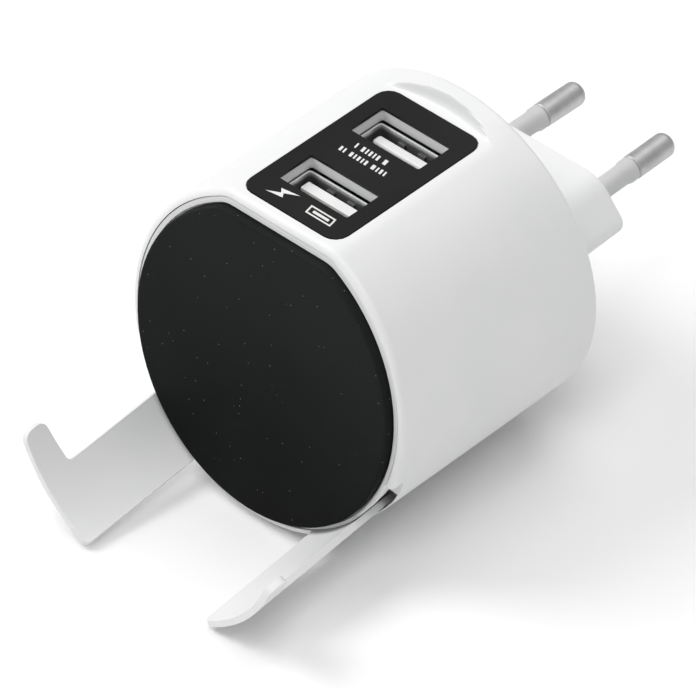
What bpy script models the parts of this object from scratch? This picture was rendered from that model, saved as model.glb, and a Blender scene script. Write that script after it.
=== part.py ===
"""USB wall charger with a phone rest: a round housing with a flat top that holds two USB sockets, a
rubber pad on its leaning front, two curved arms that slide out of the rim below the pad, and a
two-pin mains plug at the back.

Lengths are in millimetres and become metres in the mesh builders. The origin is the middle of the
plug's face, where the pins leave it: +Y runs along the pins towards the wall, +X to the right as
seen from the room, and +Z up. Heights and radii of the housing are measured from its own axis,
and depths from the front, where the leaning front plane crosses that axis.
"""

from math import atan2, cos, degrees, pi, radians, sin, sqrt, tan

import bmesh
import bpy
from mathutils import Matrix, Vector

for old in list(bpy.data.objects):
    bpy.data.objects.remove(old)

MM = 0.001

# Fits between pieces
SEAT_GAP = 0.3          # a piece and the one it rests on
SLIDE_GAP = 0.15        # the arm and its lane, across the thickness
SEAM_GAP = 0.15         # the front plate's edge and the shell's rim

# Housing
HOUSING_RADIUS = 27.25
HOUSING_LENGTH = 42.0
HOUSING_WALL = 2.2
FLAT_CUT = 2.05         # depth of the flat top below the full round
FLAT_BLEND = 0.4        # softness of the flat's long edges
FRONT_LEAN = 7.2        # degrees: the front leans back, so its top is farther from the room
FRONT_ROUND = 1.0
BACK_ROUND = 0.8
CAVITY_ROUND = 0.8
STEP_MARGIN = 2.0       # behind the label, the flat steps up to the full round
STEP_LENGTH = 1.2
STEP_BOW = 29.6         # radius of the step's curve across the flat
AXIS_DROP = 0.55        # housing axis below the pins

# Plug
PLUG_LENGTH = 17.0
PLUG_HALF_WIDTH = 17.2
PLUG_HALF_HEIGHT = 6.5
PLUG_SLANT = 49.7       # degrees: slope of the plug's sides
PLUG_TOP_ROUND = 5.5
PLUG_END_ROUND = 2.0
PLUG_EDGE = 0.5
PLUG_DRAFT = 0.4        # the plug body is this much larger all round where it meets the housing
PLUG_WALL = 2.0
PIN_PITCH = 18.6
PIN_RADIUS = 2.0
PIN_LENGTH = 19.0
PIN_TIP_ROUND = 1.2
PIN_CORE_RADIUS = 1.1
PIN_INSIDE = 9.0        # length of the pin behind the plug's face
PIN_TOE_IN = 0.86       # degrees: each pin leans towards the other
SLEEVE_RADIUS = 1.73
SLEEVE_GAP = 0.2
SLEEVE_LENGTH = 10.3
SLEEVE_INSIDE = 3.0
COLLAR_RADIUS = 1.95
COLLAR_LENGTH = 1.9
COLLAR_CONE = 0.8
CARRIER_LENGTH = 4.0
LEAD_RADIUS = 0.6
LEAD_OVERLAP = 1.5      # over the end of the main board

# Front plate and pad
RIM_WIDTH = 1.15        # shell's rim in front of the seam
PLATE_THICKNESS = 1.9
PLATE_SET_BACK = 0.1
SKIRT_DEPTH = 3.0
SKIRT_WALL = 1.2
PAD_MARGIN = 2.25       # white margin round the pad
PAD_FLAT_MARGIN = 2.6
PAD_DROP = 0.2          # pad's centre below the housing's axis
PAD_PROUD = 1.4
PAD_SUNK = 0.6
PAD_BLEND = 0.5
PAD_EDGE = 0.35

# Label
LABEL_WIDTH = 19.2
LABEL_LENGTH = 31.2
LABEL_START = 5.0
LABEL_CORNER = 2.4
LABEL_THICKNESS = 0.45
LABEL_SUNK = 0.5

# USB sockets
PORT_WIDTH = 13.65
PORT_DEPTH = 6.96
PORT_CORNER = 0.35
PORT_FIRST = 13.6
PORT_PITCH = 15.0
USB_WIDTH = 13.1
USB_DEPTH = 5.72
USB_SHEET = 0.35
USB_LENGTH = 13.6
USB_PROUD = 0.05        # the socket's rim reaches just into its opening
TONGUE_WIDTH = 11.1
TONGUE_THICKNESS = 1.84
TONGUE_OFFSET = 0.66    # tongue's middle behind the socket's middle
TONGUE_SET_BACK = 0.85
TONGUE_BASE = 3.6
CONTACT_WIDTH = 1.0
CONTACT_THICKNESS = 0.25
CONTACT_LENGTH = 7.0
CONTACT_SET_BACK = 0.8  # below the tongue's tip
CONTACT_OUTER = 3.5     # outer contacts' distance from the socket's middle
CONTACT_INNER = 1.0

# Arms
ARM_SET_IN = 0.25       # arm's outer face inside the housing's, at the front
ARM_THICKNESS = 1.05
ARM_START = 27.4        # degrees from the bottom of the housing
ARM_END = 52.2
HOOK_END = 69.4
ARM_TILT = 6.0          # degrees: the arms slide out a little downwards
ARM_REACH = 25.7
ARM_LEFT_OUT = 3.0      # reach of an arm that is pushed right in
LANE_MARGIN = 7.3       # room behind an arm that is pushed right in, for the lane's end and the wall
HOOK_ROOT = 5.2
HOOK_TIP = 4.0
HOOK_ROUND = 1.5
ARM_CORNER = 1.0
TAB_WIDTH = 3.0         # degrees: the stop tab beside the kept end
TAB_LENGTH = 3.0
LANE_SIDE = 0.5         # degrees of play beside the arm
NOTCH_END = 72.4
NOTCH_SIDE = 0.25       # degrees: the notch is this much wider than the lane behind it
NOTCH_STRAIGHT = 6.0    # degrees past the arm where the notch starts to follow the hook
HOOK_SLOT_END = 60.8    # the lane goes on past the arm's edge, behind the root of its hook
HOOK_SLOT_DEPTH = 8.0
HOOK_SLOT_SKIN = 0.15   # added to the wall left outside the slot
CHANNEL_WALL = 1.0
CHANNEL_GAP = 0.65
CHANNEL_FLANGE = 1.3    # degrees
CHANNEL_START = 7.5

# Electronics
BOARD_THICKNESS = 1.2
MAIN_BOARD_TOP = -1.6   # from the housing's axis
MAIN_BOARD_MARGIN = 6.05
MAIN_BOARD_START = 9.0
MAIN_BOARD_LENGTH = 29.0
RAIL_REACH = 2.4        # how far the rails overlap the board's edge
RAIL_HEIGHT = 1.4
PORT_BOARD_HALF_WIDTH = 10.5
PORT_BOARD_MARGIN = 4.0
CORE_WIDTH = 18.0
CORE_HEIGHT = 13.0
CORE_LEG = 5.0
CORE_DEPTH = 8.0
CORE_MIDDLE = 19.5
CORE_STANDOFF = 1.0
WINDING_DEPTH = 2.6
CAPACITOR_RADIUS = 4.2
CAPACITOR_LENGTH = 10.5
CAPACITOR_SPACING = 9.0
CAPACITOR_START = 27.4

# Small parts: places are (x, depth) of the middle, sizes are (x, depth, height)
HEADER_HALF_WIDTH = 5.2
HEADER_THICKNESS = 2.5
HEADER_MARGIN = 1.0
OUTPUT_CAN_RADIUS = 3.1
OUTPUT_CAN_LENGTH = 11.0
OUTPUT_CAN_PLACE = 13.2
OUTPUT_CAN_MARGIN = 4.5
CONTROLLER_PLACE = (-1.25, 20.0)
CONTROLLER_SIZE = (5.5, 6.0, 1.5)
RECTIFIER_PLACE = (6.2, 19.3)
RECTIFIER_SIZE = (4.4, 6.6, 2.2)
OPTOCOUPLER_PLACE = (0.0, 28.5)
OPTOCOUPLER_SIZE = (6.4, 4.5, 3.2)
BRIDGE_PLACE = (5.3, 35.0)
BRIDGE_SIZE = (4.6, 4.8, 2.4)
DISC_CLEARANCE = 0.35   # under the port board
DISC_THICKNESS = 3.0
DISC_LIFT = 0.5
DISC_PLACE = (-7.6, 32.0)
CHOKE_RADIUS = 3.2
CHOKE_HEIGHT = 6.5
CHOKE_PLACE = (13.0, 28.0)
FUSE_RADIUS = 1.8
FUSE_LENGTH = 9.0
FUSE_LIFT = 0.1
FUSE_START = 26.5       # beside the disc capacitor
SWITCHER_PLACE = (12.6, 22.5)
SWITCHER_SIZE = (4.0, 5.0, 1.5)

LEAN = tan(radians(FRONT_LEAN))
TILT = tan(radians(ARM_TILT))
FRONT_Y = -(HOUSING_LENGTH + PLUG_LENGTH)
FLAT_HEIGHT = HOUSING_RADIUS - FLAT_CUT
FLAT_HALF_WIDTH = sqrt(HOUSING_RADIUS ** 2 - FLAT_HEIGHT ** 2)
STEP_START = LABEL_START + LABEL_LENGTH + STEP_MARGIN
CAVITY_RADIUS = HOUSING_RADIUS - HOUSING_WALL
MAIN_BOARD_HALF_WIDTH = CAVITY_RADIUS - MAIN_BOARD_MARGIN
PAD_RADIUS = HOUSING_RADIUS - PAD_MARGIN
PAD_FLAT = FLAT_HEIGHT - PAD_FLAT_MARGIN
ARM_RADIUS = HOUSING_RADIUS - ARM_SET_IN
ARM_INNER = ARM_RADIUS - ARM_THICKNESS
ARM_TRAVEL = ARM_REACH - ARM_LEFT_OUT               # along the housing's axis
ARM_KEPT = HOUSING_LENGTH - LANE_MARGIN - ARM_TRAVEL    # stays in the housing when the arm is out
PORT_MIDDLES = (PORT_FIRST, PORT_FIRST + PORT_PITCH)
USB_TOP = FLAT_HEIGHT - HOUSING_WALL + USB_PROUD
USB_BOTTOM = USB_TOP - USB_LENGTH


def material(name, colour, roughness, metallic=0.0):
    made = bpy.data.materials.new(name)
    made.use_nodes = True
    shader = made.node_tree.nodes["Principled BSDF"]
    shader.inputs["Base Color"].default_value = (*colour, 1.0)
    shader.inputs["Roughness"].default_value = roughness
    shader.inputs["Metallic"].default_value = metallic
    return made


WHITE_PLASTIC = ((0.86, 0.86, 0.85), 0.35)
GREY_SLEEVE = ((0.62, 0.62, 0.63), 0.5)
BLACK_RUBBER = ((0.02, 0.021, 0.023), 0.75)
BLACK_FILM = ((0.012, 0.012, 0.013), 0.4)
TONGUE_PLASTIC = ((0.75, 0.76, 0.78), 0.45)
DARK_PLASTIC = ((0.03, 0.03, 0.032), 0.5)
NICKEL = ((0.66, 0.65, 0.63), 0.3, 1.0)
STEEL_SHEET = ((0.72, 0.73, 0.74), 0.28, 1.0)
GILT = ((0.85, 0.66, 0.3), 0.3, 1.0)
COPPER_WIRE = ((0.75, 0.42, 0.25), 0.35, 1.0)
BOARD_GREEN = ((0.04, 0.2, 0.09), 0.5)
FERRITE = ((0.07, 0.07, 0.075), 0.65)
YELLOW_TAPE = ((0.8, 0.62, 0.08), 0.45)
BLUE_COATING = ((0.05, 0.18, 0.5), 0.4)
BLACK_SLEEVING = ((0.03, 0.035, 0.05), 0.35)


def finish_mesh(name, bm, look, sharp=35.0):
    """Turns a closed bmesh, in millimetres about the housing's axis and front, into an object."""
    bmesh.ops.recalc_face_normals(bm, faces=bm.faces)
    if bm.calc_volume(signed=True) < 0:
        bmesh.ops.reverse_faces(bm, faces=bm.faces)
    for vert in bm.verts:
        x, depth, height = vert.co
        vert.co = Vector((x, FRONT_Y + depth, height - AXIS_DROP)) * MM
    mesh = bpy.data.meshes.new(name)
    bm.to_mesh(mesh)
    bm.free()
    mesh.shade_smooth()
    mesh.set_sharp_from_angle(angle=radians(sharp))
    obj = bpy.data.objects.new(name, mesh)
    bpy.context.scene.collection.objects.link(obj)
    if look is None:
        obj.hide_render = True
        obj.display_type = "WIRE"
    else:
        mesh.materials.append(material(name, *look))
    return obj


def loft(name, rings, look, sharp=35.0):
    """Closed skin through rings of equal point counts, with a flat cap on the first and the last."""
    bm = bmesh.new()
    rows = [[bm.verts.new(point) for point in ring] for ring in rings]
    count = len(rows[0])
    for low, high in zip(rows, rows[1:]):
        for i in range(count):
            j = (i + 1) % count
            bm.faces.new((low[i], low[j], high[j], high[i]))
    bm.faces.new(rows[0])
    bm.faces.new(rows[-1])
    return finish_mesh(name, bm, look, sharp)


def box(name, low, high, look):
    """Box between two corners given as (x, depth, height)."""
    (x0, y0, z0), (x1, y1, z1) = low, high
    corners = ((x0, z0), (x1, z0), (x1, z1), (x0, z1))
    return loft(name, [[(x, y, z) for x, z in corners] for y in (y0, y1)], look)


def rounded(points, radii, steps=4):
    """Corners of a convex outline replaced by arcs that touch both sides, each with its radius."""
    outline = []
    count = len(points)
    for i, radius in enumerate(radii):
        corner = Vector(points[i])
        before = (Vector(points[i - 1]) - corner).normalized()
        after = (Vector(points[(i + 1) % count]) - corner).normalized()
        half = before.angle(after) / 2
        middle = corner + (before + after).normalized() * radius / sin(half)
        first = corner + before * radius / tan(half) - middle
        sweep = (pi - 2 * half) * (1 if before.x * after.y - before.y * after.x < 0 else -1)
        for k in range(steps + 1):
            turn = Matrix.Rotation(sweep * k / steps, 2)
            outline.append(tuple(middle + turn @ first))
    return outline


def rectangle(half_width, half_height, radius):
    points = [(-half_width, -half_height), (half_width, -half_height)]
    points += [(half_width, half_height), (-half_width, half_height)]
    return rounded(points, [radius] * 4)


def cylinder(name, start, end, radius, look, sides=20):
    """Round bar between two points given as (x, depth, height)."""
    axis = Vector(end) - Vector(start)
    side = axis.orthogonal().normalized()
    other = axis.normalized().cross(side)
    rings = []
    for centre in (Vector(start), Vector(end)):
        ring = []
        for k in range(sides):
            a = 2 * pi * k / sides
            ring.append(tuple(centre + (side * cos(a) + other * sin(a)) * radius))
        rings.append(ring)
    return loft(name, rings, look)


def boolean(target, other, operation):
    modifier = target.modifiers.new(operation.title() + " " + other.name, "BOOLEAN")
    modifier.operation = operation
    modifier.solver = "EXACT"
    modifier.object = other


def soft_min(a, b, width):
    overlap = max(width - abs(a - b), 0.0) / width
    return min(a, b) - overlap * overlap * width / 4


def section_angles():
    """Angles from the top in degrees, closer together at the flat's long edges."""
    shoulder = degrees(atan2(FLAT_HALF_WIDTH, FLAT_HEIGHT))
    half = [0.0, 8.0, 15.0]
    half += [shoulder + step for step in (-4.0, -2.5, -1.2, 0.0, 1.2, 2.5, 4.0)]
    first = half[-1]
    count = 37
    half += [first + (180.0 - first) * k / count for k in range(1, count)]
    return half + [180.0] + [360.0 - a for a in reversed(half[1:])]


def section(radius, flat, depth, lean, drop=0.0, blend=FLAT_BLEND, bow=None):
    """Round section with a flat top. lean is how much of the front's lean it takes, and bow is
    the radius of a section that curves forwards on both sides of its middle."""
    ring = []
    for angle in section_angles():
        across = sin(radians(angle))
        up = cos(radians(angle))
        reach = radius
        if up > 0.5:
            reach = soft_min(radius, (flat + drop) / up, blend)
        height = reach * up - drop
        back = depth + LEAN * height * lean
        if bow is not None:
            back -= min(abs(reach * across), FLAT_HALF_WIDTH) ** 2 / (2 * bow)
        ring.append((reach * across, back, height))
    return ring


# Housing shell: one moulding, open at the front, with the plug body on its back wall
def arc_steps(count):
    return [k / count for k in range(count + 1)]


rings = []
for t in arc_steps(4):
    inset = FRONT_ROUND * (1 - sin(t * pi / 2))
    depth = FRONT_ROUND * (1 - cos(t * pi / 2))
    rings.append(section(HOUSING_RADIUS - inset, FLAT_HEIGHT - inset, depth, 1.0))
rings.append(section(HOUSING_RADIUS, FLAT_HEIGHT, 9.0, 0.5))
rings.append(section(HOUSING_RADIUS, FLAT_HEIGHT, STEP_START, 0.0, bow=STEP_BOW))
RIM_RISE = HOUSING_RADIUS + FLAT_BLEND - FLAT_HEIGHT
for t in arc_steps(5)[1:]:
    flat = FLAT_HEIGHT + RIM_RISE * (1 - cos(t * pi)) / 2
    rings.append(section(HOUSING_RADIUS, flat, STEP_START + STEP_LENGTH * t, 0.0, bow=STEP_BOW))
for t in arc_steps(4):
    radius = HOUSING_RADIUS - BACK_ROUND * (1 - cos(t * pi / 2))
    depth = HOUSING_LENGTH - BACK_ROUND * (1 - sin(t * pi / 2))
    rings.append(section(radius, HOUSING_RADIUS + FLAT_BLEND, depth, 0.0))
housing_shell = loft("housing_shell", rings, WHITE_PLASTIC)


def plug_outline(extra):
    """Flattened hexagon of a two-pin plug, seen along the pins, larger all round by extra."""
    slant = radians(PLUG_SLANT)
    height = PLUG_HALF_HEIGHT + extra
    point = PLUG_HALF_WIDTH + PLUG_END_ROUND * (1 / sin(slant) - 1) + extra / sin(slant)
    top = point - height / tan(slant)
    points = [(-top, -height), (top, -height), (point, 0.0)]
    points += [(top, height), (-top, height), (-point, 0.0)]
    top_round = PLUG_TOP_ROUND + extra
    end_round = max(PLUG_END_ROUND + extra, PLUG_EDGE)
    return rounded(points, [top_round, top_round, end_round] * 2)


def plug_ring(extra, depth):
    return [(x, depth, z + AXIS_DROP) for x, z in plug_outline(extra)]


PLUG_FACE = HOUSING_LENGTH + PLUG_LENGTH
plug_rings = [plug_ring(PLUG_DRAFT, HOUSING_LENGTH - HOUSING_WALL / 2)]
plug_rings += [plug_ring(PLUG_DRAFT * 0.05, PLUG_FACE - PLUG_EDGE)]
plug_rings += [plug_ring(-PLUG_EDGE * 0.3, PLUG_FACE - PLUG_EDGE * 0.3)]
plug_rings += [plug_ring(-PLUG_EDGE, PLUG_FACE)]
plug_body = loft("plug_body_form", plug_rings, None)
boolean(housing_shell, plug_body, "UNION")

cavity_rings = [
    section(CAVITY_RADIUS, FLAT_HEIGHT - HOUSING_WALL, -4.0, 1.0),
    section(CAVITY_RADIUS, FLAT_HEIGHT - HOUSING_WALL, 9.0, 0.0),
]
for t in arc_steps(3):
    radius = CAVITY_RADIUS - CAVITY_ROUND * (1 - cos(t * pi / 2))
    depth = HOUSING_LENGTH - HOUSING_WALL - CAVITY_ROUND * (1 - sin(t * pi / 2))
    cavity_rings.append(section(radius, FLAT_HEIGHT - HOUSING_WALL, depth, 0.0))
cavity = loft("cavity_form", cavity_rings, None)
boolean(housing_shell, cavity, "DIFFERENCE")

hollow_rings = [plug_ring(-PLUG_WALL, HOUSING_LENGTH - HOUSING_WALL - 2.0)]
hollow_rings += [plug_ring(-PLUG_WALL, PLUG_FACE - PLUG_WALL)]
plug_hollow = loft("plug_hollow_form", hollow_rings, None)
boolean(housing_shell, plug_hollow, "DIFFERENCE")

SEAT_DEPTH = PLATE_SET_BACK + PLATE_THICKNESS + SEAT_GAP
seat_rings = [
    section(HOUSING_RADIUS - RIM_WIDTH, FLAT_HEIGHT - RIM_WIDTH, depth, 1.0)
    for depth in (-4.5, SEAT_DEPTH)
]
plate_seat = loft("plate_seat_form", seat_rings, None)
boolean(housing_shell, plate_seat, "DIFFERENCE")

label_middle = LABEL_START + LABEL_LENGTH / 2


def top_outline(outline, middle, height):
    return [(x, middle + y, height) for x, y in outline]


label_recess = loft(
    "label_recess_form",
    [
        top_outline(
            rectangle(
                LABEL_WIDTH / 2 + SEAM_GAP, LABEL_LENGTH / 2 + SEAM_GAP, LABEL_CORNER + SEAM_GAP
            ),
            label_middle,
            height,
        )
        for height in (FLAT_HEIGHT - LABEL_SUNK, FLAT_HEIGHT + 3.0)
    ],
    None,
)
boolean(housing_shell, label_recess, "DIFFERENCE")

port_forms = []
for number, middle in enumerate(PORT_MIDDLES, 1):
    outline = rectangle(PORT_WIDTH / 2, PORT_DEPTH / 2, PORT_CORNER)
    heights = (FLAT_HEIGHT - HOUSING_WALL - 3.0, FLAT_HEIGHT + 3.0)
    form_rings = [top_outline(outline, middle, height) for height in heights]
    port_form = loft(f"port_form_{number}", form_rings, None)
    port_forms.append(port_form)
    boolean(housing_shell, port_form, "DIFFERENCE")


# Arms, their lanes through the shell's wall, and the channels that close the lanes off inside
def swept(side, angle, radius, depth):
    """Point at an angle from the bottom, in the tilted tube that an arm slides along."""
    a = radians(angle)
    return (side * radius * sin(a), depth, -radius * cos(a) + TILT * depth)


def spread(start, end, largest=4.0):
    count = max(1, round(abs(end - start) / largest + 0.49))
    return [start + (end - start) * k / count for k in range(count + 1)]


def arc_plate(name, side, stations, inner, outer, look):
    """Curved plate: stations are (angle, front depth, back depth)."""
    plate_rings = []
    for angle, front, back in stations:
        plate_rings.append(
            [
                swept(side, angle, inner, front),
                swept(side, angle, inner, back),
                swept(side, angle, outer, back),
                swept(side, angle, outer, front),
            ]
        )
    return loft(name, plate_rings, look)


def degrees_along(length):
    return degrees(length / ARM_RADIUS)


def round_off(distance, radius):
    """How far a rounded corner falls short of the square one, at a distance from its end."""
    if distance >= radius:
        return 0.0
    return radius - sqrt(max(radius ** 2 - (radius - distance) ** 2, 0.0))


def arm_stations():
    """Stop tab, plate, then the hook, which narrows to a rounded tip."""
    front = -ARM_REACH
    stations = [
        (angle, ARM_KEPT - TAB_LENGTH, ARM_KEPT)
        for angle in (ARM_START - TAB_WIDTH, ARM_START - 0.15)
    ]
    for distance in (0.0, 0.1, 0.3, 0.6, ARM_CORNER):
        angle = ARM_START + degrees_along(distance)
        stations.append((angle, front + round_off(distance, ARM_CORNER), ARM_KEPT))
    for angle in spread(stations[-1][0], ARM_END)[1:]:
        stations.append((angle, front, ARM_KEPT))
    root = front + HOOK_ROOT
    tip = front + HOOK_TIP
    stations.append((ARM_END + 0.15, front, root + 0.5))
    stations.append((ARM_END + 0.8, front, root + 0.1))
    last = HOOK_END - degrees_along(HOOK_ROUND)
    plain = spread(ARM_END + 1.6, last)
    distances = (1.1, 0.7, 0.4, 0.15, 0.0)
    for angle in plain + [HOOK_END - degrees_along(d) for d in distances]:
        share = (angle - ARM_END) / (HOOK_END - ARM_END)
        back = root + (tip - root) * share
        short = round_off((HOOK_END - angle) * ARM_RADIUS * pi / 180, HOOK_ROUND)
        stations.append((angle, front + short, back - short))
    return stations


def lane_stations(start, end, front, back, largest=4.0):
    return [(angle, front, back) for angle in spread(start, end, largest)]


NOTCH_DEPTH = ARM_TRAVEL - ARM_REACH + HOOK_ROOT + SEAT_GAP
LANE_INNER = ARM_INNER - SLIDE_GAP
LANE_OUTER = ARM_RADIUS + SLIDE_GAP
NOTCH_INNER = LANE_INNER - SLIDE_GAP
LANE_BACK = ARM_KEPT + ARM_TRAVEL + 1.0
OPEN_RADIUS = HOUSING_RADIUS + 3.0
OPEN_FRONT = -9.0       # cutters start in front of the leaning rim
CHANNEL_OUTER = ARM_INNER - CHANNEL_GAP
CHANNEL_INNER = CHANNEL_OUTER - CHANNEL_WALL
CHANNEL_RIM = CAVITY_RADIUS - SEAT_GAP
CHANNEL_LOW = ARM_START - TAB_WIDTH - LANE_SIDE - 2.0
CHANNEL_HIGH = ARM_END + LANE_SIDE + 3.0
front_relief = []


def channel_ring(side, low, high, inner, outer, depth):
    """Section of an arm's channel: the swept inner arc and a plain arc under the shell's wall."""
    steps = 12
    angles = [low + (high - low) * k / steps for k in range(steps + 1)]
    ring = [swept(side, angle, inner, depth) for angle in angles]
    for angle in reversed(angles):
        foot = swept(side, angle, inner, depth)
        x = foot[0]
        ring.append((x, depth, -sqrt(outer ** 2 - x ** 2)))
    return ring


for side, hand in ((-1, "left"), (1, "right")):
    arm = arc_plate(f"arm_{hand}", side, arm_stations(), ARM_INNER, ARM_RADIUS, WHITE_PLASTIC)
    x, depth, height = swept(side, (ARM_START + ARM_END) / 2, ARM_INNER, 0.0)
    slide_start = Vector((x, FRONT_Y + depth, height - AXIS_DROP)) * MM
    arm.data.transform(Matrix.Translation(-slide_start))
    arm.location = slide_start

    lane = arc_plate(
        f"lane_form_{hand}",
        side,
        lane_stations(ARM_START - LANE_SIDE, ARM_END + LANE_SIDE, OPEN_FRONT, LANE_BACK),
        LANE_INNER,
        LANE_OUTER,
        None,
    )
    boolean(housing_shell, lane, "DIFFERENCE")
    tab_front = ARM_KEPT - TAB_LENGTH - SEAT_GAP
    tab_lane = arc_plate(
        f"tab_lane_form_{hand}",
        side,
        lane_stations(ARM_START - TAB_WIDTH - LANE_SIDE, ARM_START + 1.0, tab_front, LANE_BACK),
        LANE_INNER,
        LANE_OUTER,
        None,
    )
    boolean(housing_shell, tab_lane, "DIFFERENCE")
    hook_shrink = (HOOK_ROOT - HOOK_TIP) * 0.8
    taper_start = ARM_END + NOTCH_STRAIGHT
    notch_start = ARM_START - LANE_SIDE - NOTCH_SIDE
    notch_stations = lane_stations(notch_start, taper_start, OPEN_FRONT, NOTCH_DEPTH)
    for angle in spread(taper_start, NOTCH_END)[1:]:
        share = (angle - taper_start) / (NOTCH_END - taper_start)
        notch_stations.append((angle, OPEN_FRONT, NOTCH_DEPTH - hook_shrink * share))
    notch = arc_plate(f"notch_form_{hand}", side, notch_stations, NOTCH_INNER, OPEN_RADIUS, None)
    boolean(housing_shell, notch, "DIFFERENCE")
    hook_slot = arc_plate(
        f"hook_slot_form_{hand}",
        side,
        lane_stations(ARM_END, HOOK_SLOT_END, OPEN_FRONT, HOOK_SLOT_DEPTH),
        LANE_INNER,
        LANE_OUTER - HOOK_SLOT_SKIN,
        None,
    )
    boolean(housing_shell, hook_slot, "DIFFERENCE")
    front_relief.append(
        arc_plate(
            f"relief_form_{hand}",
            side,
            lane_stations(ARM_START - LANE_SIDE, NOTCH_END, OPEN_FRONT, 12.0),
            LANE_INNER,
            OPEN_RADIUS,
            None,
        )
    )

    channel = loft(
        f"arm_channel_{hand}",
        [
            channel_ring(side, CHANNEL_LOW, CHANNEL_HIGH, CHANNEL_INNER, CHANNEL_RIM, depth)
            for depth in (CHANNEL_START, LANE_BACK + CHANNEL_WALL)
        ],
        DARK_PLASTIC,
    )
    channel_hollow = loft(
        f"channel_hollow_form_{hand}",
        [
            channel_ring(
                side,
                CHANNEL_LOW + CHANNEL_FLANGE * 2,
                CHANNEL_HIGH - CHANNEL_FLANGE * 2,
                CHANNEL_OUTER,
                HOUSING_RADIUS,
                depth,
            )
            for depth in (CHANNEL_START - 2.0, LANE_BACK)
        ],
        None,
    )
    boolean(channel, channel_hollow, "DIFFERENCE")


# Front plate with the pad's recess, its skirt inside the shell, and the rubber pad
PLATE_RADIUS = HOUSING_RADIUS - RIM_WIDTH - SEAM_GAP
PLATE_FLAT = FLAT_HEIGHT - RIM_WIDTH - SEAM_GAP
PLATE_BACK = PLATE_SET_BACK + PLATE_THICKNESS
front_plate = loft(
    "front_plate",
    [section(PLATE_RADIUS, PLATE_FLAT, d, 1.0) for d in (PLATE_SET_BACK, PLATE_BACK)],
    WHITE_PLASTIC,
)
SKIRT_RADIUS = LANE_INNER - 1.4
SKIRT_FLAT = FLAT_HEIGHT - HOUSING_WALL - SEAT_GAP
skirt = loft(
    "skirt_form",
    [
        section(SKIRT_RADIUS, SKIRT_FLAT, d, 1.0)
        for d in (PLATE_BACK - 0.4, PLATE_BACK + SKIRT_DEPTH)
    ],
    None,
)
boolean(front_plate, skirt, "UNION")
skirt_hollow = loft(
    "skirt_hollow_form",
    [
        section(SKIRT_RADIUS - SKIRT_WALL, SKIRT_FLAT - SKIRT_WALL, d, 1.0)
        for d in (PLATE_BACK, PLATE_BACK + SKIRT_DEPTH + 2.0)
    ],
    None,
)
boolean(front_plate, skirt_hollow, "DIFFERENCE")
for relief in front_relief:
    boolean(front_plate, relief, "DIFFERENCE")


def pad_section(extra, depth):
    return section(PAD_RADIUS + extra, PAD_FLAT + extra, depth, 1.0, PAD_DROP, PAD_BLEND)


pad_recess = loft(
    "pad_recess_form",
    [pad_section(SEAT_GAP, d) for d in (-4.0, PLATE_SET_BACK + PAD_SUNK)],
    None,
)
boolean(front_plate, pad_recess, "DIFFERENCE")
PAD_BACK = PLATE_SET_BACK + PAD_SUNK - SEAT_GAP
PAD_FRONT = PLATE_SET_BACK - PAD_PROUD
loft(
    "rubber_pad",
    [
        pad_section(-PAD_EDGE, PAD_FRONT),
        pad_section(-PAD_EDGE * 0.3, PAD_FRONT + PAD_EDGE * 0.3),
        pad_section(0.0, PAD_FRONT + PAD_EDGE),
        pad_section(0.0, PAD_BACK),
    ],
    BLACK_RUBBER,
)


# Label, with an opening over each socket
LABEL_BASE = FLAT_HEIGHT - LABEL_SUNK + SEAM_GAP
label_plate = loft(
    "label_plate",
    [
        top_outline(
            rectangle(LABEL_WIDTH / 2, LABEL_LENGTH / 2, LABEL_CORNER), label_middle, height
        )
        for height in (LABEL_BASE, LABEL_BASE + LABEL_THICKNESS)
    ],
    BLACK_FILM,
)
for port_form in port_forms:
    boolean(label_plate, port_form, "DIFFERENCE")


# Plug pins, their sleeves, and the carrier that holds them in the plug body
def turned(name, profile, x, look, bore=None, sides=24):
    """Body turned about an axis along Y through (x, pins' height). profile is (depth, radius)."""
    rings_out = []
    points = list(profile)
    if bore is not None:
        points += [(depth, bore) for depth in (profile[-1][0], profile[0][0])]
    bm = bmesh.new()
    for depth, radius in points:
        ring = []
        for k in range(sides):
            a = 2 * pi * k / sides
            ring.append(bm.verts.new((x + radius * cos(a), depth, AXIS_DROP + radius * sin(a))))
        rings_out.append(ring)
    pairs = list(zip(rings_out, rings_out[1:]))
    if bore is not None:
        pairs.append((rings_out[-1], rings_out[0]))
    for low, high in pairs:
        for i in range(sides):
            j = (i + 1) % sides
            bm.faces.new((low[i], low[j], high[j], high[i]))
    if bore is None:
        bm.faces.new(rings_out[0])
        bm.faces.new(rings_out[-1])
    return finish_mesh(name, bm, look)


def toe_in(obj, side):
    """Leans a pin or its sleeve towards the other one, about the middle of its foot."""
    foot = Vector((side * PIN_PITCH / 2, 0.0, 0.0)) * MM
    obj.data.transform(Matrix.Translation(-foot))
    obj.location = foot
    obj.rotation_euler = (0.0, 0.0, side * radians(PIN_TOE_IN))


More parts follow.
